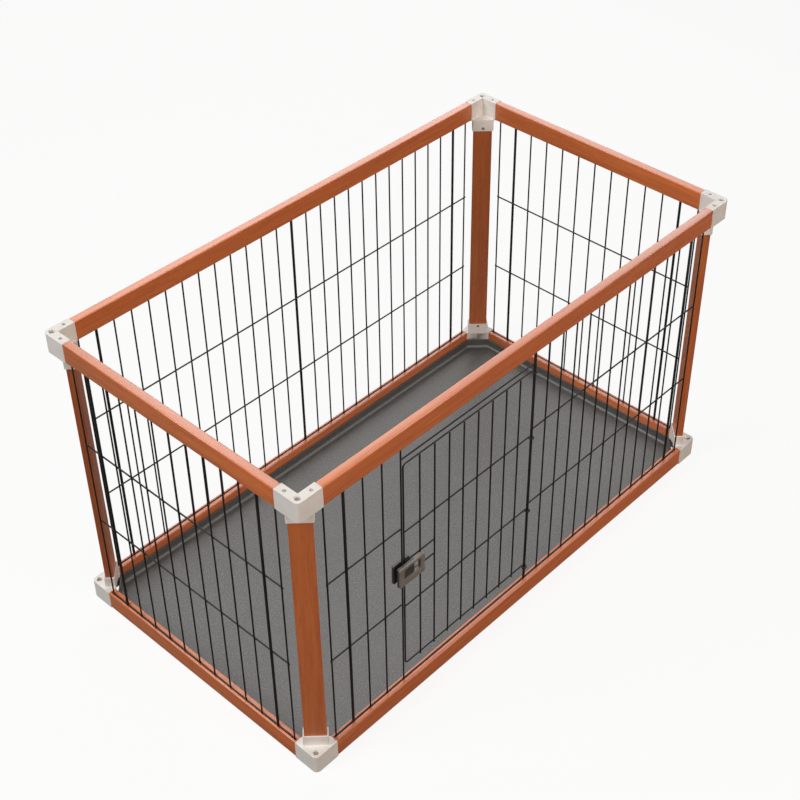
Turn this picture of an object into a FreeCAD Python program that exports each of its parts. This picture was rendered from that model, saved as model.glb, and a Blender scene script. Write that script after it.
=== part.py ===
import FreeCAD
import Part
import math
import os

# Indoor dog pen, in millimetres. X runs along the long sides, the door is in the front side at -Y,
# Z points up, and the origin is at the middle of the floor under the pen.

# Overall size over the corner mouldings
pen_length = 1092.0
pen_width = 600.0
pen_height = 622.0

# Wooden rails
rail_height = 38.0
rail_thickness = 16.0
wood_edge = 1.2
corner_proud = 0.8
tenon_length = 28.0
tenon_height = 27.0
tenon_thickness = 11.0
groove_inset = 6.0
groove_gap = 0.2

# Wooden corner posts, flat battens set across the corners at 45 degrees
post_width = 38.0
post_thickness = 15.0
post_setback = 30.7
post_end_gap = 0.2

# Corner mouldings
arm_length = 51.0
corner_radius = 9.0
corner_edge = 1.0
sleeve_wall = 2.4
sleeve_height = 24.0
sleeve_edge = 1.5
sleeve_shelf = 2.5
recess_diameter = 10.5
recess_depth = 4.0
recess_inset = 10.5
recess_flats = 12
fit_gap = 0.2

# Screws
screw_diameter = 3.0
arm_screw_length = 16.0
post_screw_length = 12.0
screw_head_diameter = 6.0
screw_head_height = 1.6
screw_hole_gap = 0.15
screw_sink = 0.4
arm_screw_inset = 36.0
post_screw_drop = 6.0

# Wires, drawn with flats in place of a round section
wire_flats = 6
thin_wire = 3.0
thick_wire = 5.0
wire_end_gap = 0.6
long_panel_pitches = 26
short_panel_pitches = 12
panel_margin = 58.0
lower_wire_height = 224.0
upper_wire_drop = 221.0

# Door in the front side, between the latch jamb and the hinge jamb
latch_jamb_x = -322.0
hinge_jamb_x = 4.0
left_front_pitches = 4
right_front_pitches = 13
lintel_drop = 31.2
door_head_gap = 19.0
door_bottom = 68.0
door_lower_bar = 212.0
door_upper_drop = 147.0
door_pitch = 35.2
door_uprights = 8
door_corner_radius = 12.0
hinge_gap = 0.1
eye_height = 4.0
stop_ring_diameter = 8.0
stop_ring_height = 3.0
stop_gap = 0.3

# Sliding latch on the door
latch_height = 301.5
latch_wire_spacing = 33.0
latch_travel = 17.0
latch_body_height = 42.0
latch_body_length = 60.0
latch_reach = 14.0
latch_run_gap = 0.35
latch_edge = 2.0
latch_tongue_thickness = 5.0
latch_web_gap = 3.5
latch_end_gap = 1.7
latch_plate_thickness = 3.0
grip_depth = 7.0
grip_left_bar = 11.0
grip_right_bar = 10.0
grip_top_bar = 6.0
grip_window_height = 22.0
latch_screw_diameter = 2.0
latch_screw_length = 17.0
latch_screw_head = 3.6
latch_screw_head_height = 1.2

# Floor tray
tray_height = 22.0
tray_wall = 2.5
tray_floor = 2.5
tray_side_gap = 0.4
tray_corner_gap = 0.5

# Sizes that follow from the ones above
rail_inner = corner_proud + rail_thickness
arm_width = rail_thickness + 2 * corner_proud
arm_height = rail_height + 2 * corner_proud
rail_bottom = corner_proud
rail_top = corner_proud + rail_height
sleeve_front = post_setback - fit_gap - sleeve_wall
sleeve_back = post_setback + post_thickness + fit_gap + sleeve_wall
sleeve_half_width = post_width / 2 + fit_gap + sleeve_wall
outer_groove = corner_proud + groove_inset
inner_groove = rail_inner - groove_inset
groove_width = thin_wire / math.cos(math.pi / wire_flats) + 2 * groove_gap
groove_depth = thin_wire + groove_gap
wire_foot = rail_top
wire_head = pen_height - rail_top - wire_end_gap
upper_wire_height = pen_height - upper_wire_drop
lintel_height = pen_height - rail_top - lintel_drop
door_top = lintel_height - door_head_gap
door_upper_bar = door_top - door_upper_drop
screw_hole = screw_diameter + 2 * screw_hole_gap
post_screw_height = arm_height + sleeve_height - post_screw_drop

os.makedirs("parts", exist_ok=True)


def vec(x, y, z):
    return FreeCAD.Vector(x, y, z)


def save(name, shape):
    shape.exportStep("parts/" + name + ".step")


def box(x0, x1, y0, y1, z0, z1):
    return Part.makeBox(x1 - x0, y1 - y0, z1 - z0, vec(x0, y0, z0))


def prism(points, z0, z1):
    """Upright prism on an outline in the XY plane."""
    bar = Part.Face(Part.makePolygon(points + points[:1])).extrude(vec(0, 0, z1 - z0))
    bar.translate(vec(0, 0, z0))
    return bar


def eased(bar, axis, edge):
    """Takes the four edges that run along an axis off a box by flat cuts."""
    return bar.makeChamfer(edge, [e for e in bar.Edges if abs(e.tangentAt(0).dot(axis)) > 0.5])


def flats(diameter, count):
    """Outline of a round bar or hole drawn with flats, two of which face along Y."""
    radius = diameter / 2 / math.cos(math.pi / count)
    turns = [2 * math.pi * i / count for i in range(count)]
    return [vec(radius * math.cos(t), radius * math.sin(t), 0) for t in turns]


def flat_face(diameter, count):
    ring = flats(diameter, count)
    return Part.Face(Part.makePolygon(ring + ring[:1]))


def rod(start, direction, length, diameter, count=wire_flats):
    """Straight bar with flats, so that crossing wires weld flat to flat along Y. It also cuts the holes
    that such bars go into."""
    bar = flat_face(diameter, count).extrude(vec(0, 0, length))
    bar.Placement = FreeCAD.Placement(start, FreeCAD.Rotation(vec(0, 0, 1), direction))
    return bar


def tapered_rod(start, direction, length, first, last):
    """Bar with flats that tapers from its first to its last diameter, as the head of a countersunk screw."""
    foot = flats(first, wire_flats)
    head = [vec(p.x, p.y, length) for p in flats(last, wire_flats)]
    sheets = [foot, head]
    for i in range(wire_flats):
        sheets.append([foot[i - 1], foot[i], head[i], head[i - 1]])
    bar = Part.Solid(Part.Shell([Part.Face(Part.makePolygon(p + p[:1])) for p in sheets]))
    bar.Placement = FreeCAD.Placement(start, FreeCAD.Rotation(vec(0, 0, 1), direction))
    return bar


def fused(shapes):
    return shapes[0].multiFuse(shapes[1:]).removeSplitter() if len(shapes) > 1 else shapes[0]


def place_side(shape, side):
    """Moves a shape from a side's own frame, X along the side, Y inwards from the pen's outer face,
    to its side of the pen."""
    turn, depth = sides[side]
    placed = shape.copy()
    placed.translate(vec(0, -depth, 0))
    placed.rotate(vec(0, 0, 0), vec(0, 0, 1), turn)
    return placed


# Each side's turn about Z and the distance from the middle to its outer face
sides = {
    "front": (0, pen_width / 2),
    "right": (90, pen_length / 2),
    "back": (180, pen_width / 2),
    "left": (270, pen_length / 2),
}
side_length = {"front": pen_length, "back": pen_length, "left": pen_width, "right": pen_width}
side_pitches = {"back": long_panel_pitches, "left": short_panel_pitches, "right": short_panel_pitches}
groove_place = {"front": inner_groove, "back": outer_groove, "left": outer_groove, "right": outer_groove}


def even_places(first, last, pitches):
    return [first + (last - first) * i / pitches for i in range(pitches + 1)]


def panel_wires(side):
    """Where the uprights of a plain panel stand along the side, each with its diameter."""
    reach = side_length[side] / 2 - panel_margin
    places = even_places(-reach, reach, side_pitches[side])
    thick = [1, len(places) - 2]
    if side == "back":
        thick.append(len(places) // 2)
    return [(x, thick_wire if i in thick else thin_wire) for i, x in enumerate(places)]


def front_left_wires():
    places = even_places(panel_margin - pen_length / 2, latch_jamb_x, left_front_pitches)
    return [(x, thick_wire if i == 1 else thin_wire) for i, x in enumerate(places)]


def front_right_wires():
    places = even_places(hinge_jamb_x, pen_length / 2 - panel_margin, right_front_pitches)
    return [(x, thick_wire if i in (0, len(places) - 2) else thin_wire) for i, x in enumerate(places)]


def make_rail(side, top):
    """Rail with a tenon at each end, a groove for the edge wire of the panel and holes for the tenon
    screws."""
    reach = side_length[side] / 2 - arm_length
    rail = box(-reach, reach, corner_proud, rail_inner, rail_bottom, rail_top)
    rail = eased(rail, vec(1, 0, 0), wood_edge)
    tenon_reach = reach + tenon_length
    middle_y = corner_proud + rail_thickness / 2
    middle_z = arm_height / 2
    tenon = box(-tenon_reach, tenon_reach, middle_y - tenon_thickness / 2, middle_y + tenon_thickness / 2,
                middle_z - tenon_height / 2, middle_z + tenon_height / 2)
    rail = rail.fuse(tenon).removeSplitter()
    groove_y = groove_place[side]
    cuts = [box(-reach, reach, groove_y - groove_width / 2, groove_y + groove_width / 2,
                rail_top - groove_depth, rail_top)]
    hole_x = side_length[side] / 2 - arm_screw_inset
    hole_top = screw_sink + screw_head_height + arm_screw_length
    for x in (-hole_x, hole_x):
        cuts.append(rod(vec(x, arm_width / 2, 0), vec(0, 0, 1), hole_top, screw_hole))
    rail = rail.cut(Part.makeCompound(cuts))
    if top:
        rail = rail.mirror(vec(0, 0, pen_height / 2), vec(0, 0, 1))
    return place_side(rail, side)


def corner_outline():
    """L-shaped outline of a corner moulding, its outer corner at the origin and round."""
    k = corner_radius * (1 - math.sqrt(0.5))
    points = [(corner_radius, 0), (arm_length, 0), (arm_length, arm_width), (arm_width, arm_width),
              (arm_width, arm_length), (0, arm_length), (0, corner_radius)]
    knots = [vec(x, y, 0) for x, y in points]
    edges = [Part.LineSegment(a, b).toShape() for a, b in zip(knots, knots[1:])]
    edges.append(Part.Arc(knots[-1], vec(k, k, 0), knots[0]).toShape())
    return Part.Face(Part.Wire(edges))


def across_corner(shape):
    """Turns a shape from X along the corner's diagonal to its place across the corner."""
    turned = shape.copy()
    turned.rotate(vec(0, 0, 0), vec(0, 0, 1), 45)
    return turned


def to_other_arm(shape):
    """Mirrors a shape in the arm along X to the arm along Y."""
    return shape.mirror(vec(0, 0, 0), vec(1, -1, 0))


def make_screw(head, direction, length):
    """Countersunk screw; head is the middle of its outer face and direction points along the shank."""
    top = tapered_rod(head, direction, screw_head_height, screw_head_diameter, screw_diameter)
    neck = head.add(direction * screw_head_height)
    return top.fuse(rod(neck, direction, length, screw_diameter))


def screw_room(face, direction, depth):
    """Countersunk seat for a screw's head and the hole for its shank, from the face that it goes into."""
    mouth = screw_head_diameter + 2 * screw_hole_gap
    seat = tapered_rod(face.add(direction * screw_sink), direction, screw_head_height, mouth, screw_hole)
    return [rod(face, direction, screw_sink, mouth), seat, rod(face, direction, depth, screw_hole)]


def make_corner():
    """Corner moulding with its end face on the floor: two arms with sockets for the tenons, a sleeve
    for the post, a round recess in both faces and seats for the screws."""
    arms = corner_outline().extrude(vec(0, 0, arm_height))
    rims = [e for e in arms.Edges if e.BoundBox.ZLength < corner_edge]
    arms = arms.makeChamfer(corner_edge, rims)
    sleeve = box(sleeve_front, sleeve_back, -sleeve_half_width, sleeve_half_width,
                 arm_height - sleeve_shelf, arm_height + sleeve_height)
    sleeve = eased(sleeve, vec(0, 0, 1), sleeve_edge)
    body = arms.fuse(across_corner(sleeve)).removeSplitter()
    post_room = box(post_setback - fit_gap, sleeve_back - sleeve_wall,
                    -post_width / 2 - fit_gap, post_width / 2 + fit_gap,
                    arm_height, arm_height + sleeve_height)
    low = arm_height / 2 - tenon_height / 2 - fit_gap
    near = arm_width / 2 - tenon_thickness / 2 - fit_gap
    first = arm_length - tenon_length - fit_gap
    socket = box(first, arm_length, near, arm_width - near, low, arm_height - low)
    arm_screw = vec(arm_screw_inset, arm_width / 2, 0)
    post_screw = vec(sleeve_back, 0, post_screw_height)
    cuts = [across_corner(post_room)]
    for shape in [socket] + screw_room(arm_screw, vec(0, 0, 1), low):
        cuts += [shape, to_other_arm(shape)]
    for shape in screw_room(post_screw, vec(-1, 0, 0), 2 * sleeve_wall):
        cuts.append(across_corner(shape))
    for z in (0, arm_height - recess_depth):
        foot = vec(recess_inset, recess_inset, z)
        cuts.append(rod(foot, vec(0, 0, 1), recess_depth, recess_diameter, recess_flats))
    return body.cut(Part.makeCompound(cuts))


corner_names = ["front_left", "front_right", "back_right", "back_left"]


def place_corner(shape, index, top):
    """Moves a shape from a bottom corner's own frame to one of the eight corners."""
    placed = shape.mirror(vec(0, 0, pen_height / 2), vec(0, 0, 1)) if top else shape.copy()
    placed.rotate(vec(0, 0, 0), vec(0, 0, 1), 90 * index)
    x = pen_length / 2 * (1 if index in (1, 2) else -1)
    y = pen_width / 2 * (1 if index in (2, 3) else -1)
    placed.translate(vec(x, y, 0))
    return placed


def make_post(index):
    """Corner post from sleeve to sleeve, with a hole at each end for its screw."""
    post = box(post_setback, post_setback + post_thickness, -post_width / 2, post_width / 2,
               arm_height, pen_height - arm_height - post_end_gap)
    post = eased(post, vec(0, 0, 1), wood_edge)
    reach = screw_sink + screw_head_height + post_screw_length
    heights = (post_screw_height, pen_height - post_screw_height)
    cuts = [rod(vec(sleeve_back, 0, z), vec(-1, 0, 0), reach, screw_hole) for z in heights]
    post = post.cut(Part.makeCompound(cuts))
    return place_corner(across_corner(post), index, False)


def arm_screws(top):
    """The two screws in the arms of each corner on one level."""
    screw = make_screw(vec(arm_screw_inset, arm_width / 2, screw_sink), vec(0, 0, 1), arm_screw_length)
    pair = Part.makeCompound([screw, to_other_arm(screw)])
    return Part.makeCompound([place_corner(pair, index, top) for index in range(len(corner_names))])


def post_screws():
    head = vec(sleeve_back - screw_sink, 0, post_screw_height)
    screw = across_corner(make_screw(head, vec(-1, 0, 0), post_screw_length))
    places = [(index, top) for index in range(len(corner_names)) for top in (False, True)]
    return Part.makeCompound([place_corner(screw, index, top) for index, top in places])


def cross_wire(first, last, y, z):
    return rod(vec(first, y, z), vec(1, 0, 0), last - first, thin_wire)


def make_panel(wires, plane, round_first=False):
    """Uprights in one plane with two cross wires welded to their inner faces. A round first upright
    serves as a hinge pin."""
    bars = []
    for i, (x, diameter) in enumerate(wires):
        if round_first and i == 0:
            bars.append(Part.makeCylinder(diameter / 2, wire_head - wire_foot, vec(x, plane, wire_foot)))
        else:
            bars.append(rod(vec(x, plane, wire_foot), vec(0, 0, 1), wire_head - wire_foot, diameter))
    for z in (lower_wire_height, upper_wire_height):
        bars.append(cross_wire(wires[0][0], wires[-1][0], plane + thin_wire, z))
    return bars


def edge_reach(side):
    """Half the length of a side's edge wires, which end flush with its outermost uprights."""
    return side_length[side] / 2 - panel_margin + thin_wire / 2


def edge_wires(first, last, plane):
    """The two wires in the grooves of the rails, each with a flat that the ends of the uprights meet."""
    bars = []
    for z in (wire_foot - thin_wire / 2, wire_head + thin_wire / 2):
        bar = rod(vec(first, 0, 0), vec(1, 0, 0), last - first, thin_wire)
        bar.rotate(vec(0, 0, 0), vec(1, 0, 0), 90)
        bar.translate(vec(0, plane, z))
        bars.append(bar)
    return bars


front_plane = inner_groove
bar_plane = front_plane + thick_wire / 2 + hinge_gap + thin_wire / 2
upright_plane = bar_plane - thin_wire
latch_frame_x = hinge_jamb_x - door_pitch * (door_uprights + 1)
eye_radius = thick_wire / 2 + hinge_gap


def make_stop_ring():
    """Collar on the hinge jamb that carries the lowest eye of the door."""
    base = door_bottom - eye_height / 2 - stop_gap - stop_ring_height
    return rod(vec(hinge_jamb_x, front_plane, base), vec(0, 0, 1), stop_ring_height, stop_ring_diameter)


def door_frame_path():
    """Centre line of the bent frame wire: top bar, latch side and bottom bar with round corners."""
    r = door_corner_radius
    k = r * (1 - math.sqrt(0.5))
    x = latch_frame_x
    y = bar_plane
    top_end = vec(hinge_jamb_x, y, door_top)
    bottom_end = vec(hinge_jamb_x, y, door_bottom)
    arcs = [
        (vec(x + r, y, door_top), vec(x + k, y, door_top - k), vec(x, y, door_top - r)),
        (vec(x, y, door_bottom + r), vec(x + k, y, door_bottom + k), vec(x + r, y, door_bottom)),
    ]
    return Part.Wire([
        Part.LineSegment(top_end, arcs[0][0]).toShape(),
        Part.Arc(*arcs[0]).toShape(),
        Part.LineSegment(arcs[0][2], arcs[1][0]).toShape(),
        Part.Arc(*arcs[1]).toShape(),
        Part.LineSegment(arcs[1][2], bottom_end).toShape(),
    ])


def with_eyes(bar, heights):
    """Fuses a wire with eyes at its hinge end and bores them for the hinge jamb."""
    eyes = []
    bores = []
    for z in heights:
        foot = vec(hinge_jamb_x, front_plane, z - eye_height / 2)
        eyes.append(rod(foot, vec(0, 0, 1), eye_height, 2 * (eye_radius + thin_wire)))
        bores.append(Part.makeCylinder(eye_radius, eye_height, foot))
    return fused([bar] + eyes).cut(Part.makeCompound(bores))


def make_door():
    """Wire door: a bent frame wire and cross wires with eyes round the hinge jamb, uprights, and two short
    wires for the latch. Each wire is a solid of its own that meets the others at its welds."""
    ring = [vec(hinge_jamb_x, bar_plane + p.y, door_top + p.x) for p in flats(thin_wire, wire_flats)]
    section = Part.makePolygon(ring + ring[:1])
    bent_wire = door_frame_path().makePipeShell([section], True, False)
    frame_wire = with_eyes(bent_wire, (door_top, door_bottom))
    wires = [frame_wire]
    for z in (door_lower_bar, door_upper_bar):
        bar = cross_wire(latch_frame_x, hinge_jamb_x, bar_plane, z).cut(bent_wire)
        wires.append(with_eyes(bar, (z,)))
    places = [hinge_jamb_x - door_pitch * (i + 1) for i in range(door_uprights)]
    for x in places:
        wires.append(rod(vec(x, upright_plane, door_bottom), vec(0, 0, 1), door_top - door_bottom, thin_wire))
    for z in (latch_height - latch_wire_spacing / 2, latch_height + latch_wire_spacing / 2):
        wires.append(cross_wire(latch_frame_x, places[-2], bar_plane, z).cut(bent_wire))
    return Part.makeCompound([piece for wire in wires for piece in wire.Solids])


# The latch's own lines in the front side's frame
latch_left = latch_jamb_x - latch_reach
latch_right = latch_left + latch_body_length
latch_low = latch_height - latch_body_height / 2
latch_high = latch_height + latch_body_height / 2
web_left = latch_frame_x + thin_wire / 2 + latch_web_gap
web_right = latch_frame_x + door_pitch - thin_wire / 2 - latch_end_gap - latch_travel
web_low = latch_height - latch_wire_spacing / 2 + thin_wire / 2 + latch_run_gap
web_high = latch_height + latch_wire_spacing / 2 - thin_wire / 2 - latch_run_gap
window_high = latch_high - grip_top_bar
window_low = window_high - grip_window_height
plate_back = front_plane - thin_wire / 2 - latch_run_gap
plate_front = plate_back - latch_plate_thickness
grip_front = plate_back - grip_depth
tongue_front = bar_plane + thin_wire / 2 + latch_run_gap
tongue_back = tongue_front + latch_tongue_thickness


def latch_screw_heads():
    """Where the two screws through the web and the plate into the grip's lower bar start."""
    z = (web_low + window_low) / 2
    return [vec(web_left + (web_right - web_left) * share, tongue_back, z) for share in (0.25, 0.75)]


def latch_screw_holes():
    size = latch_screw_diameter + 2 * screw_hole_gap
    head = latch_screw_head + 2 * screw_hole_gap
    length = latch_screw_head_height + latch_screw_length
    shapes = []
    for start in latch_screw_heads():
        shapes.append(rod(start, vec(0, -1, 0), length, size))
        shapes.append(rod(start, vec(0, -1, 0), latch_screw_head_height, head))
    return Part.makeCompound(shapes)


def make_latch_screws():
    screws = []
    for start in latch_screw_heads():
        top = rod(start, vec(0, -1, 0), latch_screw_head_height, latch_screw_head)
        neck = start.add(vec(0, -latch_screw_head_height, 0))
        screws.append(top.fuse(rod(neck, vec(0, -1, 0), latch_screw_length, latch_screw_diameter)))
    return Part.makeCompound(screws)


def make_latch_bolt():
    """Tongue behind the wires and the web that runs between the two short wires."""
    tongue = eased(box(latch_left, web_right, tongue_front, tongue_back, latch_low, latch_high),
                   vec(0, 1, 0), latch_edge)
    web = box(web_left, web_right, plate_back, tongue_front, web_low, web_high)
    return tongue.fuse(web).removeSplitter().cut(latch_screw_holes())


def make_latch_plate():
    """Plate in front of the wires, which holds the jamb against the tongue."""
    plate = box(latch_left, web_right, plate_front, plate_back, latch_low, latch_high)
    return plate.cut(latch_screw_holes())


def make_latch_grip():
    """Finger frame on the plate. Its window is backed by the plate on the left and open on the right."""
    body = eased(box(latch_left, latch_right, grip_front, plate_back, latch_low, latch_high),
                 vec(0, 1, 0), latch_edge)
    window = box(latch_left + grip_left_bar, latch_right - grip_right_bar, grip_front, plate_back,
                 window_low, window_high)
    window = eased(window, vec(0, 1, 0), latch_edge)
    plate_room = box(latch_left, web_right + fit_gap, plate_front, plate_back, latch_low, latch_high)
    return body.cut(Part.makeCompound([window, plate_room, latch_screw_holes()]))


def tray_outline(inset, setback):
    """Rectangle at an inset from the pen's outer faces. Its corners are cut off at 45 degrees, at a setback
    from the pen's outer corners."""
    x = pen_length / 2 - inset
    y = pen_width / 2 - inset
    cut = setback * math.sqrt(2) - 2 * inset
    quarter = [(x - cut, y), (x, y - cut)]
    half = quarter + [(px, -py) for px, py in reversed(quarter)]
    return [vec(px, py, 0) for px, py in half + [(-px, -py) for px, py in half]]


def make_tray():
    """Shallow pan whose cut corners pass the post sleeves when it is lifted. Its floor and its eight walls
    are solids that meet face to face, which keeps collision out of the room that they enclose."""
    inset = rail_inner + tray_side_gap
    setback = sleeve_back + tray_corner_gap
    outer = tray_outline(inset, setback)
    inner = tray_outline(inset + tray_wall, setback + tray_wall)
    pieces = [prism(outer, 0, tray_floor)]
    for i in range(len(outer)):
        wall = [outer[i - 1], outer[i], inner[i], inner[i - 1]]
        pieces.append(prism(wall, tray_floor, tray_height))
    return Part.makeCompound(pieces)


corner = make_corner()
for side in sides:
    save("top_rail_" + side, make_rail(side, True))
    save("bottom_rail_" + side, make_rail(side, False))
for index, name in enumerate(corner_names):
    save("post_" + name, make_post(index))
    save("bottom_corner_" + name, place_corner(corner, index, False))
    save("top_corner_" + name, place_corner(corner, index, True))
for side in ("back", "left", "right"):
    panel = fused(make_panel(panel_wires(side), groove_place[side]))
    edges = edge_wires(-edge_reach(side), edge_reach(side), groove_place[side])
    save("wire_panel_" + side, place_side(Part.makeCompound([panel] + edges), side))
edge_joint = hinge_jamb_x - thick_wire / 2
left_part = fused(make_panel(front_left_wires(), front_plane))
left_edges = edge_wires(-edge_reach("front"), edge_joint, front_plane)
right_part = fused(make_panel(front_right_wires(), front_plane, True) + [make_stop_ring()])
right_edges = edge_wires(edge_joint, edge_reach("front"), front_plane)
save("wire_panel_front_left", place_side(Part.makeCompound([left_part] + left_edges), "front"))
save("wire_panel_front_right", place_side(Part.makeCompound([right_part] + right_edges), "front"))
lintel = cross_wire(latch_jamb_x, hinge_jamb_x, front_plane, lintel_height).cut(left_part).cut(right_part)
save("door_lintel_wire", place_side(lintel, "front"))
save("door_panel", place_side(make_door(), "front"))
save("latch_bolt", place_side(make_latch_bolt(), "front"))
save("latch_plate", place_side(make_latch_plate(), "front"))
save("latch_grip", place_side(make_latch_grip(), "front"))
save("latch_screws", place_side(make_latch_screws(), "front"))
save("floor_tray", make_tray())
save("top_rail_screws", arm_screws(True))
save("bottom_rail_screws", arm_screws(False))
save("post_screws", post_screws())
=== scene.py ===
import math

import bmesh
import bpy
from bmesh.types import BMEdge, BMFace, BMVert
from mathutils import Matrix, Vector


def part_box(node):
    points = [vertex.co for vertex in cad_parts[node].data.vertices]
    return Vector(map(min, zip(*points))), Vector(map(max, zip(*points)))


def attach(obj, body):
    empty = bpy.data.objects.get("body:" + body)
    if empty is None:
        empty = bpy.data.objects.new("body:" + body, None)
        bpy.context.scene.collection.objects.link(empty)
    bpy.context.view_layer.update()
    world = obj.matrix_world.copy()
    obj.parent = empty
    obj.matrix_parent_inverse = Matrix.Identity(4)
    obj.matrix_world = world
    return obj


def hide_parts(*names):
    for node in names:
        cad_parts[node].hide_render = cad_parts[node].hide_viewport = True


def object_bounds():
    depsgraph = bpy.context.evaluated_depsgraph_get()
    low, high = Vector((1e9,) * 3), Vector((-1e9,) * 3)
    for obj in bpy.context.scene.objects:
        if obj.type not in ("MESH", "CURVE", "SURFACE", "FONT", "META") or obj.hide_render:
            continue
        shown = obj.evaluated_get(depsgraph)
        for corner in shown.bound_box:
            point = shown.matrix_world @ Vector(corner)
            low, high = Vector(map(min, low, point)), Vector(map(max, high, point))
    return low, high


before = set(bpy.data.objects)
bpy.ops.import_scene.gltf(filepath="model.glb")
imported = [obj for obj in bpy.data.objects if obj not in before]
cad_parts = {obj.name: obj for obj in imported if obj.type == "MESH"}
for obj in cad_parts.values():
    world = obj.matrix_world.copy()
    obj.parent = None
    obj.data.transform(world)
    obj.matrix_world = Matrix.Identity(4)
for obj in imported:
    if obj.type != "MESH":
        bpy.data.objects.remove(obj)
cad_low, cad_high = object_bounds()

# Sizes are in metres. They are those of the pen's solids, apart from rounded edges, welds, the web in
# the corners, the door's bends, and the lengths, depths and seats of the screws.
pen = cad_high - cad_low
fit_gap = 0.0002
tiny = 1e-6

# Angles in degrees, past which a rounding takes an edge and past which shading shows an edge
sharp_angle = 28
tray_sharp_angle = 40
smooth_angle = 40
moulded_smooth_angle = 60
screw_smooth_angle = 35

# Rails
rail_height = 0.038
rail_thickness = 0.016
rail_edge = 0.0006
rail_least_edge = 0.006
groove_inset = 0.006
tenon_length = 0.028
tenon_thickness = 0.011
tenon_height = 0.027

# Posts, measured along the diagonal from the pen's corner
post_front = 0.0307
post_back = 0.0457
post_half = 0.019
post_edge = 0.0012

# Corner mouldings
corner_proud = 0.0008
corner_radius = 0.009
corner_edge = 0.00075
arm_length = 0.051
arm_width = rail_thickness + 2 * corner_proud
arm_height = rail_height + 2 * corner_proud
sleeve_wall = 0.0024
sleeve_height = 0.024
sleeve_shelf = 0.0025
sleeve_round = 0.0022
sleeve_front = post_front - fit_gap - sleeve_wall
sleeve_back = post_back + fit_gap + sleeve_wall
sleeve_half = post_half + fit_gap + sleeve_wall
sleeve_foot = arm_height - sleeve_shelf
sleeve_top = arm_height + sleeve_height
web_reach = 0.006
recess_inset = 0.0105
recess_depth = 0.004
recess_radius = 0.00525
recess_sides = 32

# Screws, with radii for heads and shanks and the cross slot in shares of the head
screw_head = 0.003
screw_shank = 0.0015
screw_length = 0.014
screw_sink = 0.0007
shank_sides = 12
head_rim = 0.0003
head_turn_per_corner = 0.7
head_turn_per_metre = 20
slot_length = 0.62
slot_width = 0.15
slot_depth = 0.7
shank_start = 0.98
seat_radius = 0.0033
arm_seat_depth = 0.0016
post_seat_depth = 0.0014
arm_screw_inset = 0.036
post_screw_drop = 0.006
post_screw_height = sleeve_top - post_screw_drop
latch_screw_head = 0.0018
latch_screw_shank = 0.001
latch_screw_length = 0.016

# Wires, in planes measured inwards from the outer face of their side
thin = 0.003
thick = 0.005
wire_sides = 14
wire_ease = 0.16
weld_radius = 0.52 * thin
weld_flatness = 0.62
panel_margin = 0.058
long_pitches = 26
short_pitches = 12
latch_side_pitches = 4
hinge_side_pitches = 13
side_plane = corner_proud + groove_inset
front_plane = corner_proud + rail_thickness - groove_inset
cross_heights = (0.224, 0.401)

# Door and latch
latch_jamb = -0.322
hinge_jamb = 0.004
hinge_gap = 0.0001
eye_height = 0.004
eye_steps = 28
eye_radius = thick / 2 + hinge_gap + thin / 2
bar_plane = front_plane + eye_radius
upright_plane = bar_plane - thin
door_uprights = 8
door_pitch = 0.0352
door_bend = 0.0065
bend_steps = 8
door_bar_heights = (0.212, 0.386)
latch_bar_heights = (0.285, 0.318)
bolt_edge = 0.0008
plate_edge = 0.0004
grip_edge = 0.0009
latch_least_edge = 0.0021
collar_foot = 0.0627
collar_height = 0.003
collar_radius = 0.004
collar_edge = 0.0006

# Floor tray
tray_wall = 0.0025
tray_cut = 0.0346
tray_corner = 2 * tray_wall
tray_bend = 0.006
tray_edge = 0.0008

# Turn of each side about the upright axis, in degrees, and its distance from the middle
sides = {
    "front": (0, pen.y / 2),
    "right": (90, pen.x / 2),
    "back": (180, pen.y / 2),
    "left": (270, pen.x / 2),
}
corner_names = ["front_left", "front_right", "back_right", "back_left"]
up = Vector((0, 0, 1))
diagonal = Vector((1, 1, 0)).normalized()
diagonal_turn = math.pi / 4


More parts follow.
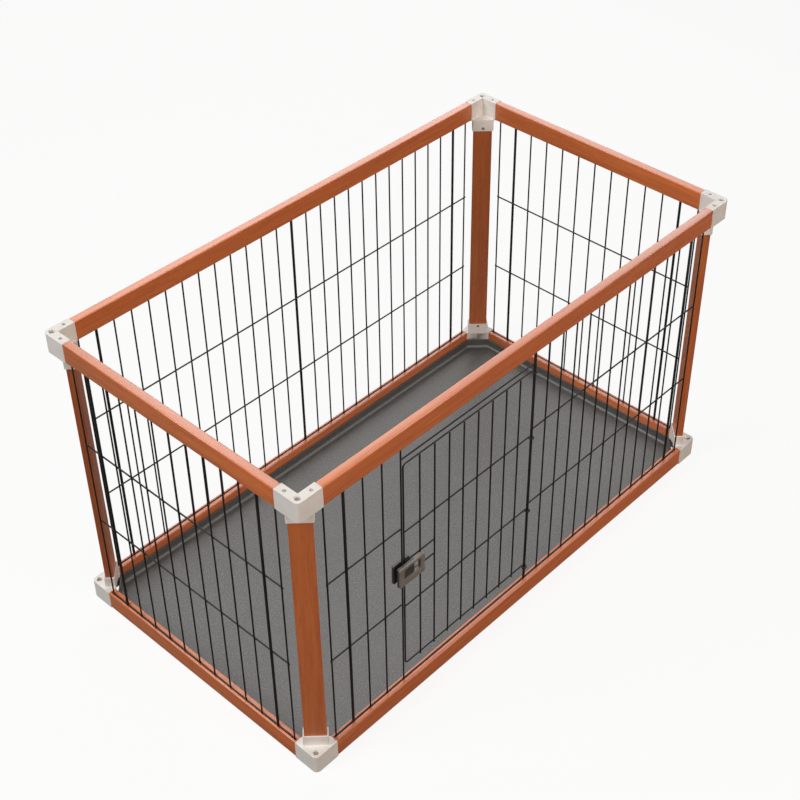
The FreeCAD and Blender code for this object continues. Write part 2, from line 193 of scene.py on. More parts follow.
class Socket:
    """One output in a node tree. Sums and products with it add Math nodes."""

    def __init__(self, tree, output):
        self.tree = tree
        self.output = output

    def node(self, kind, settings, sockets, output=0):
        """Adds a node: its settings first, then the values or links of its sockets."""
        made = self.tree.nodes.new(kind)
        for name, value in settings.items():
            setattr(made, name, value)
        for name, value in sockets.items():
            if isinstance(value, Socket):
                self.tree.links.new(value.output, made.inputs[name])
            else:
                made.inputs[name].default_value = value
        return Socket(self.tree, made.outputs[output])

    def math(self, operation, first, second):
        return self.node("ShaderNodeMath", {"operation": operation}, {0: first, 1: second})

    def __add__(self, other):
        return self.math("ADD", self, other)

    __radd__ = __add__

    def __sub__(self, other):
        return self.math("SUBTRACT", self, other)

    def __rsub__(self, other):
        return self.math("SUBTRACT", other, self)

    def __mul__(self, other):
        return self.math("MULTIPLY", self, other)

    __rmul__ = __mul__

    def part(self, axis):
        """One coordinate of a place."""
        return self.node("ShaderNodeSeparateXYZ", {}, {0: self}, axis)

    def size(self):
        return self.math("ABSOLUTE", self, 0.0)

    def scaled(self, stretch):
        """Coordinates on which a pattern is stretched."""
        sockets = {"Vector": self, "Scale": stretch}
        return self.node("ShaderNodeMapping", {"vector_type": "POINT"}, sockets)

    def noise(self, scale, detail, roughness=0.5):
        """Cloudy pattern, with about as many clouds to the metre as its scale."""
        sockets = {"Vector": self, "Scale": scale, "Detail": detail, "Roughness": roughness}
        return self.node("ShaderNodeTexNoise", {}, sockets)

    def between(self, low, high):
        """Clear step of a pattern from 0 at low to 1 at high."""
        sockets = {"Value": self, "From Min": low, "From Max": high}
        return self.node("ShaderNodeMapRange", {"interpolation_type": "SMOOTHSTEP"}, sockets)

    def mixed(self, first, second):
        """Colour from the first to the second by this share."""
        first = first if isinstance(first, Socket) else (*first, 1)
        second = second if isinstance(second, Socket) else (*second, 1)
        return self.node("ShaderNodeMix", {"data_type": "RGBA"}, {0: self, 6: first, 7: second}, 2)

    def bump(self, distance, strength):
        sockets = {"Height": self, "Distance": distance, "Strength": strength}
        return self.node("ShaderNodeBump", {}, sockets)


def surface(name, look):
    """Material whose look gives the shader's sockets from the piece's own coordinates."""
    material = bpy.data.materials.new(name)
    material.use_nodes = True
    tree = material.node_tree
    shader = tree.nodes["Principled BSDF"]
    place = Socket(tree, tree.nodes.new("ShaderNodeTexCoord").outputs["Object"])
    for socket, value in look(place).items():
        if isinstance(value, Socket):
            tree.links.new(value.output, shader.inputs[socket])
        else:
            shader.inputs[socket].default_value = value
    return material


def stained_wood(stretch, tone=1.0):
    """Brown red stain over straight grain that runs along the axis with the small stretch. A tone under
    1 makes it darker."""
    pale = [tone * part for part in (0.68, 0.188, 0.048)]
    deep = [tone * part for part in (0.485, 0.114, 0.028)]
    pore = [tone * part for part in (0.185, 0.035, 0.011)]

    def look(place):
        along = place.scaled(stretch)
        boards = along.noise(14.0, 2.0)
        grain = along.noise(150.0, 4.0, 0.6)
        pores = along.noise(620.0, 2.0, 0.6)
        shade = (boards - 0.5) * 0.9 + (grain - 0.5) * 1.1 + 0.5
        streak = pores.between(0.57, 0.72) * 0.34
        relief = grain * 0.6 - pores.between(0.55, 0.75) * 0.5
        return {
            "Base Color": streak.mixed(shade.between(0.1, 0.9).mixed(deep, pale), pore),
            "Roughness": 0.42 + (grain - 0.5) * 0.14 + streak * 0.3,
            "Normal": relief.bump(0.00008, 0.5),
            "Specular IOR Level": 0.25,
            "Coat Weight": 0.95,
            "Coat Roughness": 0.27,
        }
    return look


def white_plastic(place):
    """Satin moulded plastic with a fine spark-eroded skin and slight handling marks. The round recess of
    each corner is painted grey as shade."""
    clean = (0.85, 0.825, 0.80)
    handled = (0.785, 0.76, 0.735)
    painted_recess_shade = (0.36, 0.35, 0.335)
    skin = place.noise(2600.0, 2.0, 0.6)
    marks = place.noise(38.0, 4.0, 0.65)
    # Painted shade: the floor and walls of each corner's round recess are painted darker grey.
    across = place.part("X").size() - (pen.x / 2 - recess_inset)
    along = place.part("Y").size() - (pen.y / 2 - recess_inset)
    outside = (across * across + along * along).between((recess_radius * 0.9) ** 2, recess_radius ** 2)
    return {
        "Base Color": outside.mixed(painted_recess_shade, marks.between(0.3, 0.75).mixed(clean, handled)),
        "Roughness": 0.34 + marks * 0.14,
        "Normal": skin.bump(0.00003, 0.5),
        "Specular IOR Level": 0.5,
    }


def black_wire(place):
    """Black dipped coating, slightly uneven, with a soft gloss."""
    fresh = (0.007, 0.0065, 0.006)
    dull = (0.013, 0.0115, 0.010)
    coat = place.noise(900.0, 3.0, 0.55)
    worn = place.noise(60.0, 3.0, 0.6)
    return {
        "Base Color": worn.between(0.35, 0.8).mixed(fresh, dull),
        "Roughness": 0.36 + worn * 0.2,
        "Normal": coat.bump(0.00006, 0.6),
        "Specular IOR Level": 0.2,
    }


def grey_tray(place):
    """Grained dark grey sheet plastic with pale specks and dark pits."""
    dark = (0.056, 0.055, 0.052)
    light = (0.075, 0.074, 0.070)
    speck = (0.21, 0.21, 0.20)
    pit = (0.030, 0.0295, 0.028)
    grain = place.noise(420.0, 4.0, 0.7)
    specks = place.noise(360.0, 3.0, 0.6)
    clouds = place.noise(9.0, 3.0, 0.6)
    sheet = clouds.between(0.25, 0.8).mixed(dark, light)
    flecked = (specks.between(0.52, 0.68) * 0.5).mixed(sheet, speck)
    return {
        "Base Color": grain.between(0.34, 0.48).mixed(pit, flecked),
        "Roughness": 0.34 + clouds * 0.12,
        "Normal": grain.bump(0.0005, 0.7),
        "Specular IOR Level": 0.55,
    }


def dark_latch(place):
    """Near-black moulded plastic, rubbed a little paler."""
    deep = (0.018, 0.017, 0.016)
    pale = (0.032, 0.030, 0.028)
    skin = place.noise(2200.0, 2.0, 0.6)
    rubbed = place.noise(120.0, 3.0, 0.6)
    return {
        "Base Color": rubbed.between(0.4, 0.8).mixed(deep, pale),
        "Roughness": 0.38 + rubbed * 0.16,
        "Normal": skin.bump(0.00003, 0.5),
    }


def taupe_grip(place):
    """Taupe moulded plastic, rubbed a little paler."""
    deep = (0.175, 0.152, 0.134)
    pale = (0.215, 0.190, 0.168)
    skin = place.noise(2200.0, 2.0, 0.6)
    rubbed = place.noise(90.0, 3.0, 0.6)
    return {
        "Base Color": rubbed.between(0.35, 0.8).mixed(deep, pale),
        "Roughness": 0.34 + rubbed * 0.14,
        "Normal": skin.bump(0.00003, 0.5),
    }


def screw_steel(place):
    """Plated steel with fine turned marks."""
    bright = (0.22, 0.216, 0.21)
    stained = (0.15, 0.147, 0.143)
    turned = place.noise(1800.0, 2.0, 0.6)
    stain = place.noise(300.0, 3.0, 0.6)
    return {
        "Base Color": stain.between(0.3, 0.8).mixed(bright, stained),
        "Metallic": 1.0,
        "Roughness": 0.36 + stain * 0.2,
        "Normal": turned.bump(0.00002, 0.5),
    }


grain_stretch = 0.045
post_tone = 0.8
wood_along = {
    "x": surface("stained_wood_x", stained_wood((grain_stretch, 1, 1))),
    "y": surface("stained_wood_y", stained_wood((1, grain_stretch, 1))),
    "z": surface("stained_wood_z", stained_wood((1, 1, grain_stretch), post_tone)),
}
plastic = surface("white_plastic", white_plastic)
coating = surface("black_wire", black_wire)
tray_sheet = surface("grey_tray", grey_tray)
latch_dark = surface("dark_latch", dark_latch)
latch_taupe = surface("taupe_grip", taupe_grip)
steel = surface("screw_steel", screw_steel)


def linked(name, data):
    """Object in the scene that holds some data."""
    made = bpy.data.objects.new(name, data)
    bpy.context.scene.collection.objects.link(made)
    return made


def mesh_object(name, bm):
    """Object in the scene that takes over a bmesh."""
    mesh = bpy.data.meshes.new(name)
    bm.to_mesh(mesh)
    bm.free()
    return linked(name, mesh)


def piece(name, bm, body, material, nodes, smooth=smooth_angle):
    """Makes a bmesh a smooth piece that rides on a body and stands for its CAD nodes."""
    made = mesh_object(name, bm)
    made.data.shade_smooth()
    made.data.set_sharp_from_angle(angle=math.radians(smooth))
    made.data.materials.append(material)
    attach(made, body)
    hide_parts(*nodes)
    return made


def round_edges(made, width, segments=3, angle=sharp_angle, weighted=False):
    """Rounds the sharp edges of a piece and keeps its flat faces flat."""
    bevel = made.modifiers.new("round_edges", "BEVEL")
    bevel.width = width
    bevel.segments = segments
    bevel.limit_method = "WEIGHT" if weighted else "ANGLE"
    bevel.angle_limit = math.radians(angle)
    bevel.harden_normals = True
    bevel.use_clamp_overlap = False


def ease(bm, geom, width, segments, affect="EDGES"):
    """Rounds some edges or corners of a bmesh."""
    bmesh.ops.bevel(bm, geom=geom, affect=affect, offset=width, segments=segments, profile=0.5,
                    material=-1)


def only(kind, geom):
    """The vertices, edges or faces among what an operator gives."""
    return [part for part in geom if isinstance(part, kind)]


def edges_of(verts):
    """The edges at some vertices, each of them once."""
    return list(dict.fromkeys(edge for vert in verts for edge in vert.link_edges))


def rise(edge):
    """Height between the two ends of an edge."""
    return abs(edge.verts[0].co.z - edge.verts[1].co.z)


def raise_face(bm, face, way):
    """Extrudes one face along a vector and gives the face at the far end."""
    grown = bmesh.ops.extrude_face_region(bm, geom=[face])["geom"]
    bmesh.ops.translate(bm, vec=way, verts=only(BMVert, grown))
    return only(BMFace, grown)[0]


def block(bm, low, high, turn=0.0):
    """Box between two corners, turned about the origin's upright axis."""
    low, high = Vector(low), Vector(high)
    place = Matrix.Rotation(turn, 4, "Z") @ Matrix.Translation((low + high) / 2)
    bmesh.ops.create_cube(bm, size=1, matrix=place @ Matrix.Diagonal((*(high - low), 1)))


def peg(bm, start, direction, length, radius, sides_round=24, end_radius=None):
    """Round bar from a start point along a direction. Gives its vertices."""
    direction = Vector(direction).normalized()
    turn = direction.to_track_quat("Z", "Y").to_matrix().to_4x4()
    place = Matrix.Translation(Vector(start) + direction * length / 2) @ turn
    end_radius = radius if end_radius is None else end_radius
    made = bmesh.ops.create_cone(bm, cap_ends=True, segments=sides_round, radius1=radius,
                                 radius2=end_radius, depth=length, matrix=place)
    return made["verts"]


def carve(solid, tool, operation):
    """Joins or cuts one bmesh with another and gives the result as a new bmesh."""
    blanks = [mesh_object("blank", shape) for shape in (solid, tool)]
    cut = blanks[0].modifiers.new("carve", "BOOLEAN")
    cut.operation = operation
    cut.solver = "EXACT"
    cut.object = blanks[1]
    evaluated = blanks[0].evaluated_get(bpy.context.evaluated_depsgraph_get())
    result = bmesh.new()
    result.from_mesh(evaluated.to_mesh())
    evaluated.to_mesh_clear()
    for blank in blanks:
        mesh = blank.data
        bpy.data.objects.remove(blank)
        bpy.data.meshes.remove(mesh)
    return result


def softened(node, body, material, width, least):
    """A CAD node whose sharp edges are rounded where they are longer than the least."""
    bm = bmesh.new()
    bm.from_mesh(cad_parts[node].data)
    bmesh.ops.remove_doubles(bm, verts=bm.verts, dist=tiny)
    bmesh.ops.dissolve_limit(bm, angle_limit=math.radians(1), verts=bm.verts, edges=bm.edges)
    weight = bm.edges.layers.float.new("bevel_weight_edge")
    for edge in bm.edges:
        if edge.calc_length() > least and edge.calc_face_angle(0) > math.radians(sharp_angle):
            edge[weight] = 1
    made = piece(node + "_soft", bm, body, material, [node], moulded_smooth_angle)
    round_edges(made, width, weighted=True)


def corner_arms():
    """The two arms of a corner moulding, with a round outer corner."""
    arms = bmesh.new()
    outline = [(0, 0), (arm_length, 0), (arm_length, arm_width), (arm_width, arm_width),
               (arm_width, arm_length), (0, arm_length)]
    face = arms.faces.new([arms.verts.new((x, y, 0)) for x, y in outline])
    raise_face(arms, face, (0, 0, arm_height))
    outer = [e for e in arms.edges if all(abs(v.co.x) + abs(v.co.y) < tiny for v in e.verts)]
    ease(arms, outer, corner_radius, segments=9)
    bmesh.ops.recalc_face_normals(arms, faces=arms.faces)
    return arms


def corner_sleeve():
    """The post's sleeve on the diagonal, with its two outer uprights rounded."""
    sleeve = bmesh.new()
    block(sleeve, (sleeve_front, -sleeve_half, sleeve_foot), (sleeve_back, sleeve_half, sleeve_top),
          diagonal_turn)
    middle = (sleeve_front + sleeve_back) / math.sqrt(2)
    outer = [e for e in sleeve.edges
             if all(v.co.x + v.co.y < middle for v in e.verts) and rise(e) > sleeve_wall]
    ease(sleeve, outer, sleeve_round, segments=4)
    return sleeve


def corner_web():
    """Small web that closes the notch between the arms and the sleeve."""
    web = bmesh.new()
    block(web, (sleeve_front - web_reach, -web_reach, sleeve_foot),
          (sleeve_front + sleeve_wall / 2, web_reach, arm_height), diagonal_turn)
    return web


def corner_hollows():
    """What is cut from a corner moulding: room for the post, tenon sockets, screw seats and round
    recesses. Each runs one wall past the face that it opens in."""
    wall = sleeve_wall
    hollows = bmesh.new()
    block(hollows, (sleeve_front + wall, wall - sleeve_half, arm_height),
          (sleeve_back - wall, sleeve_half - wall, sleeve_top + wall), diagonal_turn)
    socket_start = arm_length - tenon_length - fit_gap
    socket_width = tenon_thickness + 2 * fit_gap
    socket_height = tenon_height + 2 * fit_gap
    for swap in (False, True):
        low = Vector((socket_start, (arm_width - socket_width) / 2, (arm_height - socket_height) / 2))
        high = Vector((arm_length + wall, (arm_width + socket_width) / 2,
                       (arm_height + socket_height) / 2))
        seat = Vector((arm_screw_inset, arm_width / 2, -wall))
        if swap:
            low, high, seat = low.yxz, high.yxz, seat.yxz
        block(hollows, low, high)
        peg(hollows, seat, up, wall + arm_seat_depth, seat_radius)
    for foot in (-wall, arm_height - recess_depth):
        centre = (recess_inset, recess_inset, foot)
        peg(hollows, centre, up, recess_depth + wall, recess_radius, recess_sides)
    start = diagonal * (sleeve_back + wall) + up * post_screw_height
    peg(hollows, start, -diagonal, wall + post_seat_depth, seat_radius)
    return hollows


def corner_blank():
    """Corner moulding in its own frame, with its outer corner at the origin and its sleeve upwards."""
    body = carve(corner_arms(), corner_sleeve(), "UNION")
    body = carve(body, corner_web(), "UNION")
    return carve(body, corner_hollows(), "DIFFERENCE")


def corner_place(index, top):
    """Moves a corner's own frame to one of the eight corners. Top corners are turned over."""
    x = pen.x / 2 * (1 if index in (1, 2) else -1)
    y = pen.y / 2 * (1 if index in (2, 3) else -1)
    place = Matrix.Translation((x, y, 0)) @ Matrix.Rotation(index * math.pi / 2, 4, "Z")
    if top:
        place = place @ Matrix.Translation((0, 0, pen.z)) @ Matrix.Diagonal((1, 1, -1, 1))
    return place


def make_corners():
    blank = corner_blank()
    for level in ("bottom", "top"):
        for index, corner in enumerate(corner_names):
            bm = blank.copy()
            bmesh.ops.transform(bm, matrix=corner_place(index, level == "top"), verts=bm.verts)
            if level == "top":
                bmesh.ops.reverse_faces(bm, faces=bm.faces)
            node = level + "_corner_" + corner
            made = piece(node + "_moulding", bm, "frame", plastic, [node],
                         moulded_smooth_angle)
            round_edges(made, corner_edge)
    blank.free()


def make_rails():
    for level in ("top", "bottom"):
        for side in sides:
            grain = wood_along["x" if side in ("front", "back") else "y"]
            softened(level + "_rail_" + side, "frame", grain, rail_edge, rail_least_edge)


def make_posts():
    for index, corner in enumerate(corner_names):
        node = "post_" + corner
        low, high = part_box(node)
        bm = bmesh.new()
        block(bm, (post_front, -post_half, low.z), (post_back, post_half, high.z), diagonal_turn)
        bmesh.ops.transform(bm, matrix=corner_place(index, False), verts=bm.verts)
        made = piece(node + "_batten", bm, "frame", wood_along["z"], [node])
        round_edges(made, post_edge, segments=4)


def screw_blank(head_radius, shank_radius, shank_length):
    """Countersunk screw along +Z, its cross-slotted head's face at the origin."""
    bm = bmesh.new()
    depth = head_radius - shank_radius
    peg(bm, (0, 0, 0), up, depth, head_radius, end_radius=shank_radius)
    rim = [e for e in bm.edges if all(abs(v.co.z) < tiny for v in e.verts)]
    ease(bm, rim, head_rim, segments=2)
    long, narrow = head_radius * slot_length, head_radius * slot_width
    for x, y in ((long, narrow), (narrow, long)):
        slot = bmesh.new()
        block(slot, (-x, -y, -depth), (x, y, depth * slot_depth))
        bm = carve(bm, slot, "DIFFERENCE")
    peg(bm, (0, 0, depth * shank_start), up, shank_length, shank_radius, shank_sides)
    return bm


def make_screws(node, body, blank, places):
    """All the screws of one group as one piece."""
    group = bmesh.new()
    mesh = bpy.data.meshes.new("screw")
    blank.to_mesh(mesh)
    for place in places:
        before = len(group.verts)
        group.from_mesh(mesh)
        group.verts.ensure_lookup_table()
        bmesh.ops.transform(group, matrix=place, verts=group.verts[before:])
    bpy.data.meshes.remove(mesh)
    piece(node + "_cross_slotted", group, body, steel, [node], screw_smooth_angle)


def arm_screw_places(top):
    """Places of the eight screws in the arms of one level, each head turned its own way."""
    places = []
    for index in range(4):
        for seat in ((arm_screw_inset, arm_width / 2), (arm_width / 2, arm_screw_inset)):
            spot = corner_place(index, top) @ Vector((*seat, screw_sink))
            turn = Matrix.Rotation(math.pi if top else 0, 4, "X")
            angle = head_turn_per_corner * index + head_turn_per_metre * seat[0]
            spin = Matrix.Rotation(angle, 4, "Z")
            places.append(Matrix.Translation(spot) @ turn @ spin)
    return places


def post_screw_places():
    """Places of the eight screws through the sleeves' inner faces into the posts."""
    places = []
    for index in range(4):
        for top in (False, True):
            place = corner_place(index, top)
            spot = place @ (diagonal * (sleeve_back - screw_sink) + up * post_screw_height)
            inward = (place.to_3x3() @ -diagonal).to_track_quat("Z", "Y").to_matrix().to_4x4()
            places.append(Matrix.Translation(spot) @ inward)
    return places


def make_frame_screws():
    blank = screw_blank(screw_head, screw_shank, screw_length)
    make_screws("top_rail_screws", "frame", blank, arm_screw_places(True))
    make_screws("bottom_rail_screws", "frame", blank, arm_screw_places(False))
    make_screws("post_screws", "frame", blank, post_screw_places())
    blank.free()


def make_latch_screws():
    low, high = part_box("latch_screws")
    blank = screw_blank(latch_screw_head, latch_screw_shank, latch_screw_length)
    places = []
    for x in (low.x + latch_screw_head, high.x - latch_screw_head):
        spot = Vector((x, high.y, (low.z + high.z) / 2))
        places.append(Matrix.Translation(spot) @ Matrix.Rotation(math.pi / 2, 4, "X"))
    make_screws("latch_screws", "latch", blank, places)
    blank.free()


def make_latch():
    softened("latch_bolt", "latch", latch_dark, bolt_edge, latch_least_edge)
    softened("latch_plate", "latch", latch_dark, plate_edge, latch_least_edge)
    softened("latch_grip", "latch", latch_taupe, grip_edge, latch_least_edge)
    make_latch_screws()


def side_place(side):
    """Moves a side's own frame, X along it and Y inwards from its outer face, to its place."""
    turn, depth = sides[side]
    return Matrix.Rotation(math.radians(turn), 4, "Z") @ Matrix.Translation((0, -depth, 0))


def wire(bm, start, end, diameter):
    """Round wire with slightly eased ends."""
    way = Vector(end) - Vector(start)
    verts = peg(bm, start, way, way.length, diameter / 2, wire_sides)
    rims = [e for e in edges_of(verts) if {len(f.verts) for f in e.link_faces} == {4, wire_sides}]
    ease(bm, rims, diameter * wire_ease, segments=2)


def wire_ring(bm, centre, capped):
    """Edges of the circle where a thin wire that runs along X is cut."""
    place = Matrix.Translation(centre) @ Matrix.Rotation(math.pi / 2, 4, "Y")
    made = bmesh.ops.create_circle(bm, cap_ends=capped, segments=wire_sides, radius=thin / 2,
                                   matrix=place)
    return edges_of(made["verts"])


def weld(bm, x, y, z):
    """Squeezed coating where two wires are welded."""
    squash = Matrix.Translation((x, y, z)) @ Matrix.Diagonal((1, weld_flatness, 1, 1))
    bmesh.ops.create_icosphere(bm, subdivisions=2, radius=weld_radius, matrix=squash)


def wire_piece(node, bm, side, body):
    """Sets wires into their side and makes them a piece."""
    bmesh.ops.transform(bm, matrix=side_place(side), verts=bm.verts)
    piece(node + "_round", bm, body, coating, [node])


def spread(first, last, pitches):
    return [first + (last - first) * i / pitches for i in range(pitches + 1)]


def panel(node, side, places, thick_ones, plane, edge=None, extra=None):
    """Wire panel: uprights in one plane, two cross wires welded to their inner sides and an edge wire in
    the groove of each rail."""
    low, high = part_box(node)
    bm = bmesh.new()
    first, last = edge or (places[0] - thin / 2, places[-1] + thin / 2)
    for z in (low.z + thin / 2, high.z - thin / 2):
        wire(bm, (first, plane, z), (last, plane, z), thin)
    for i, x in enumerate(places):
        diameter, sunk = (thick, thin) if i in thick_ones else (thin, thin / 2)
        wire(bm, (x, plane, low.z + sunk), (x, plane, high.z - sunk), diameter)
    for z in cross_heights:
        wire(bm, (places[0], plane + thin, z), (places[-1], plane + thin, z), thin)
        for x in places:
            weld(bm, x, plane + thin / 2, z)
    if extra:
        extra(bm)
    wire_piece(node, bm, side, "frame")


def make_closed_panels():
    """Back, left and right panels. The second upright from each end is thick, and so is the middle one
    of the back."""
    for side, pitches in (("back", long_pitches), ("left", short_pitches), ("right", short_pitches)):
        reach = (pen.x if side == "back" else pen.y) / 2 - panel_margin
        thick_ones = {1, pitches - 1} | ({pitches // 2} if side == "back" else set())
        panel("wire_panel_" + side, side, spread(-reach, reach, pitches), thick_ones, side_plane)


def stop_collar(bm):
    """Collar on the hinge jamb that carries the door's lowest eye."""
    verts = peg(bm, (hinge_jamb, front_plane, collar_foot), up, collar_height, collar_radius)
    rims = [e for e in edges_of(verts) if rise(e) < tiny]
    ease(bm, rims, collar_edge, segments=2)


def make_front_panels():
    """Panels on both sides of the door, whose edge wires meet at the hinge jamb."""
    first = panel_margin - pen.x / 2
    joint = hinge_jamb - thick / 2
    latch_side = spread(first, latch_jamb, latch_side_pitches)
    hinge_side = spread(hinge_jamb, -first, hinge_side_pitches)
    panel("wire_panel_front_left", "front", latch_side, {1}, front_plane, (first - thin / 2, joint))
    panel("wire_panel_front_right", "front", hinge_side, {0, hinge_side_pitches - 1}, front_plane,
          (joint, thin / 2 - first), stop_collar)


def make_lintel():
    node = "door_lintel_wire"
    low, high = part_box(node)
    level = (low.z + high.z) / 2
    bm = bmesh.new()
    wire(bm, (latch_jamb, front_plane, level), (hinge_jamb, front_plane, level), thin)
    for x in (latch_jamb, hinge_jamb):
        weld(bm, x, front_plane, level)
    wire_piece(node, bm, "front", "frame")


def bent_frame(bm, left, bottom, top):
    """Frame wire of the door, from the top eye round two bends to the bottom eye. Its closed ends stop
    just short of the eyes' own rings."""
    right = hinge_jamb - thin / 10
    bend = door_bend

    def run(edges, way):
        grown = bmesh.ops.extrude_edge_only(bm, edges=edges)["geom"]
        far = only(BMVert, grown)
        bmesh.ops.translate(bm, vec=way, verts=far)
        return [e for e in only(BMEdge, grown) if all(v in far for v in e.verts)]

    def turn(edges, centre):
        spun = bmesh.ops.spin(bm, geom=edges, cent=centre, axis=(0, 1, 0), angle=-math.pi / 2,
                              steps=bend_steps)
        return only(BMEdge, spun["geom_last"])

    edges = wire_ring(bm, (right, bar_plane, top), True)
    edges = run(edges, (left + bend - right, 0, 0))
    edges = turn(edges, (left + bend, bar_plane, top - bend))
    edges = run(edges, (0, 0, bottom - top + 2 * bend))
    edges = turn(edges, (left + bend, bar_plane, bottom + bend))
    edges = run(edges, (right - left - bend, 0, 0))
    bmesh.ops.edgeloop_fill(bm, edges=edges)


def hinge_eye(bm, z):
    """Full turn of wire round the hinge jamb."""
    edges = wire_ring(bm, (hinge_jamb, bar_plane, z), False)
    bmesh.ops.spin(bm, geom=edges, cent=(hinge_jamb, front_plane, z), axis=(0, 0, 1),
                   angle=2 * math.pi, steps=eye_steps, use_merge=True)


def make_door():
    low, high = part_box("door_panel")
    left = hinge_jamb - (door_uprights + 1) * door_pitch
    bottom, top = low.z + eye_height / 2, high.z - eye_height / 2
    bars = (bottom, *door_bar_heights, top)
    uprights = [hinge_jamb - door_pitch * (i + 1) for i in range(door_uprights)]
    bm = bmesh.new()
    bent_frame(bm, left, bottom, top)
    for x in uprights:
        wire(bm, (x, upright_plane, bottom - thin / 2), (x, upright_plane, top + thin / 2), thin)
        for z in bars:
            weld(bm, x, upright_plane + thin / 2, z)
    for z in door_bar_heights:
        wire(bm, (left, bar_plane, z), (hinge_jamb, bar_plane, z), thin)
        weld(bm, left, bar_plane, z)
    for z in latch_bar_heights:
        wire(bm, (left, bar_plane, z), (uprights[-2] + thin / 2, bar_plane, z), thin)
        weld(bm, left, bar_plane, z)
        for x in uprights[-2:]:
            weld(bm, x, upright_plane + thin / 2, z)
    for z in bars:
        hinge_eye(bm, z)
    bmesh.ops.remove_doubles(bm, verts=bm.verts, dist=tiny)
    bmesh.ops.recalc_face_normals(bm, faces=bm.faces)
    wire_piece("door_panel", bm, "front", "door")


def make_tray():
    """Shallow pan with cut corners, an easy curve into its floor and a round rim."""
    low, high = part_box("floor_tray")
    bm = bmesh.new()
    outline = [(low.x, low.y), (high.x, low.y), (high.x, high.y), (low.x, high.y)]
    bm.faces.new([bm.verts.new((x, y, low.z)) for x, y in outline])
    ease(bm, bm.verts[:], tray_cut, segments=1, affect="VERTICES")
    ease(bm, bm.verts[:], tray_corner, segments=5, affect="VERTICES")
    bm.faces.ensure_lookup_table()
    top = raise_face(bm, bm.faces[0], (0, 0, high.z - low.z))
    bmesh.ops.recalc_face_normals(bm, faces=bm.faces)
    bmesh.ops.inset_region(bm, faces=[top], thickness=tray_wall)
    floor = raise_face(bm, top, (0, 0, low.z + tray_wall - high.z))
    bmesh.ops.delete(bm, geom=[top], context="FACES_ONLY")
    ease(bm, floor.edges[:], tray_bend, segments=5)
    made = piece("floor_tray_pan", bm, "tray", tray_sheet, ["floor_tray"])
    round_edges(made, tray_edge, angle=tray_sharp_angle)


def ray_kinds(tree):
    """Whether a ray comes from the camera, off a glossy surface or through a clear one."""
    path = tree.nodes.new("ShaderNodeLightPath")
    kinds = ("Is Camera Ray", "Is Glossy Ray", "Is Transmission Ray")
    return [Socket(tree, path.outputs[kind]) for kind in kinds]


def make_floor():
    """Pale floor just under the pen. It shows nearly white with a faint shadow and throws little light
    back."""
    reach, gap = 30, 0.0005
    pale, dim = (0.9, 0.9, 0.9), (0.11, 0.105, 0.10)
    glow, mirrored_glow = 0.9, 0.06
    bm = bmesh.new()
    bmesh.ops.create_grid(bm, x_segments=1, y_segments=1, size=reach)
    bmesh.ops.translate(bm, vec=(0, 0, -gap), verts=bm.verts)
    floor = mesh_object("floor", bm)
    material = bpy.data.materials.new("floor")
    material.use_nodes = True
    tree = material.node_tree
    tree.nodes.clear()
    camera_ray, glossy_ray, through_ray = ray_kinds(tree)
    colour = camera_ray.mixed(dim, pale)
    paint = camera_ray.node("ShaderNodeBsdfDiffuse", {}, {"Color": colour})
    white = camera_ray.node("ShaderNodeEmission", {}, {"Color": (1, 1, 1, 1), "Strength": 1.0})
    share = camera_ray * glow + glossy_ray * mirrored_glow + through_ray * glow
    mix = camera_ray.node("ShaderNodeMixShader", {}, {0: share, 1: paint, 2: white})
    out = tree.nodes.new("ShaderNodeOutputMaterial")
    tree.links.new(mix.output, out.inputs["Surface"])
    floor.data.materials.append(material)


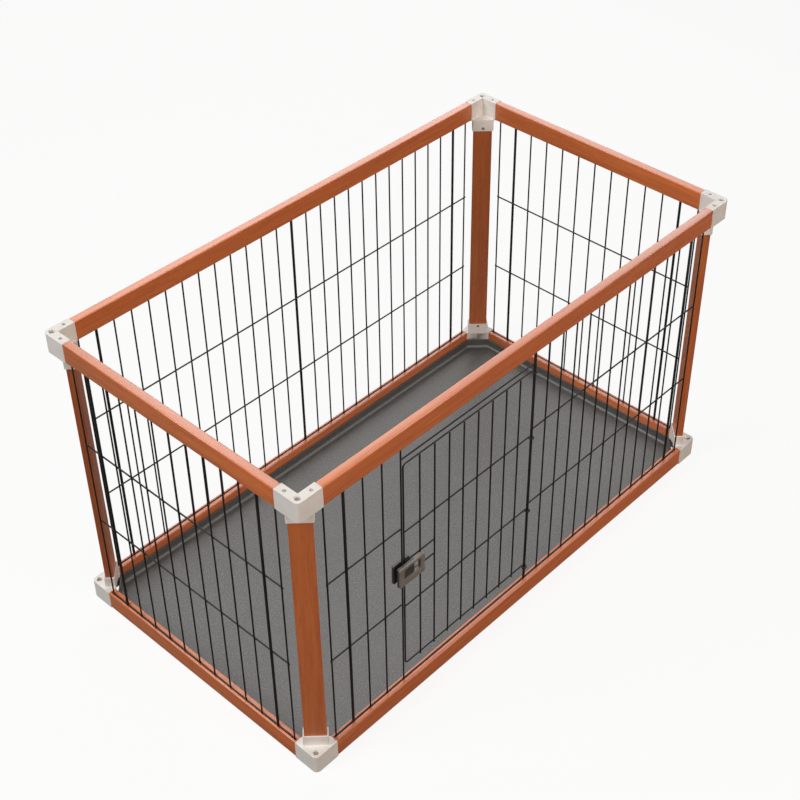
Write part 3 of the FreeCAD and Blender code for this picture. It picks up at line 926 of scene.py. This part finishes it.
def make_surroundings():
    """White surroundings that are seen and mirrored but throw no other light."""
    brightness = 2.2
    world = bpy.data.worlds.new("surroundings")
    bpy.context.scene.world = world
    world.use_nodes = True
    tree = world.node_tree
    camera_ray, glossy_ray, through_ray = ray_kinds(tree)
    seen = camera_ray + glossy_ray + through_ray
    strength = seen.node("ShaderNodeMix", {"data_type": "FLOAT"}, {0: seen, 2: 0.0, 3: brightness})
    tree.links.new(strength.output, tree.nodes["Background"].inputs["Strength"])
    tree.nodes["Background"].inputs["Color"].default_value = (1, 1, 1, 1)


def make_lamps():
    """Soft square lamps aimed at the middle of the pen: place, size, power in watts and colour."""
    target = Vector((0, 0, 0.3))
    for name, place, size, power, colour in (
            ("key", (-5.4, 1.8, 4.5), 3.4, 336, (1, 0.97, 0.94)),
            ("sheen", (1.9, 1.7, 2.35), 2.2, 14, (1, 1, 1)),
            ("sheen_left", (0.6, 1.4, 2.35), 1.2, 10, (1, 1, 1)),
            ("fill", (-0.45, -4.8, 2.7), 3.3, 164, (1, 0.86, 0.75)),
            ("fill_right", (1.8, -2.6, 1.0), 2.0, 6, (1, 0.87, 0.77))):
        lamp = bpy.data.lights.new(name, "AREA")
        lamp.shape = "SQUARE"
        lamp.size = size
        lamp.energy = power
        lamp.color = colour
        holder = linked(name, lamp)
        holder.location = place
        holder.rotation_euler = (target - Vector(place)).to_track_quat("-Z", "Y").to_euler()


def make_camera():
    """Camera at the photograph's viewing angle."""
    place = (-1.56834, -1.48902, 2.12429)
    turn, tilt, roll = math.radians(-47.19), math.radians(38.30), math.radians(-0.17)
    right = Vector((math.cos(turn), math.sin(turn), 0))
    back = Vector((math.sin(turn) * math.cos(tilt), -math.cos(turn) * math.cos(tilt), math.sin(tilt)))
    above = back.cross(right)
    level, tipped = math.cos(roll), math.sin(roll)
    axes = Matrix((level * right + tipped * above, level * above - tipped * right, back)).transposed()
    data = bpy.data.cameras.new("camera")
    data.sensor_width = 36
    data.lens = 68.327
    data.shift_x = -0.0273
    data.shift_y = -0.0567
    data.clip_end = 100
    camera = linked("camera", data)
    camera.matrix_world = Matrix.Translation(place) @ axes.to_4x4()
    bpy.context.scene.camera = camera


make_corners()
make_rails()
make_posts()
make_closed_panels()
make_front_panels()
make_lintel()
make_door()
make_latch()
make_frame_screws()
make_tray()
make_floor()
make_surroundings()
make_lamps()
make_camera()
bpy.context.scene.view_settings.view_transform = "Standard"

bpy.context.view_layer.update()
